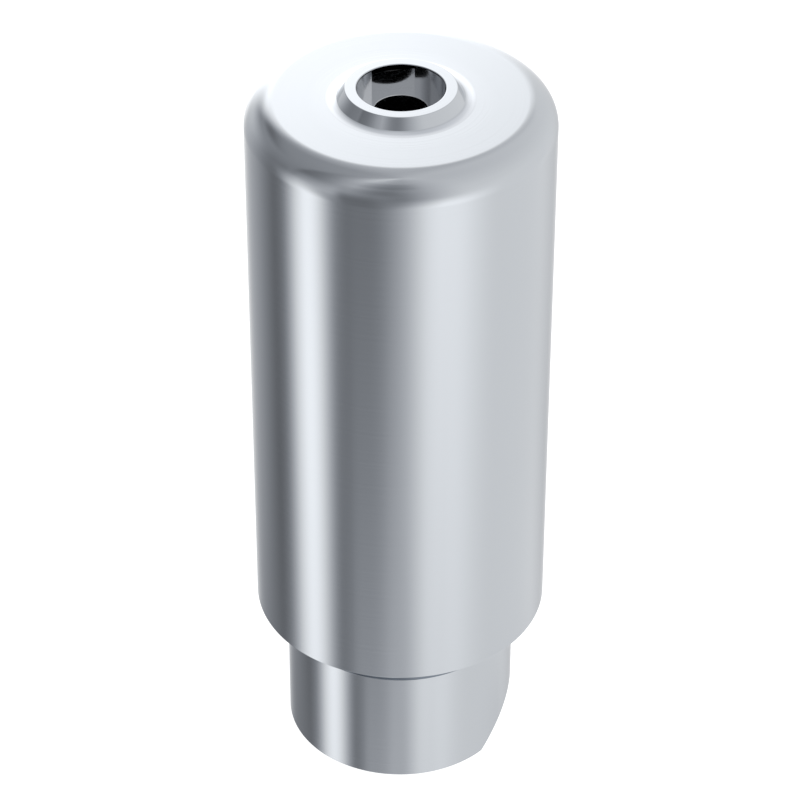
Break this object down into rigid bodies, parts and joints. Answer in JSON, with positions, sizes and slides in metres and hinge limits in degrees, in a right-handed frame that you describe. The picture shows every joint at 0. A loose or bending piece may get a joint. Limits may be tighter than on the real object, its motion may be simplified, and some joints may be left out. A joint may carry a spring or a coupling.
{
  "type": "dental abutment blank",
  "caption": "Turned titanium blank for a dental abutment, with a rounded end, a raised platform with a socket, a screw channel and a holder stub with a slanted index cut.",
  "frame": {"origin": "on the axis, in the middle of the end face of the holder stub, which the blank stands on", "axes": "+Z along the axis, from the holder stub to the implant platform; +X from the axis to the middle of the slanted index cut"},
  "size_m": [0.01, 0.01, 0.0258],
  "materials": {
    "titanium": "satin, finely turned"
  },
  "bodies": {
    "root": {"abutment_blank": "titanium"}
  },
  "joints": []
}
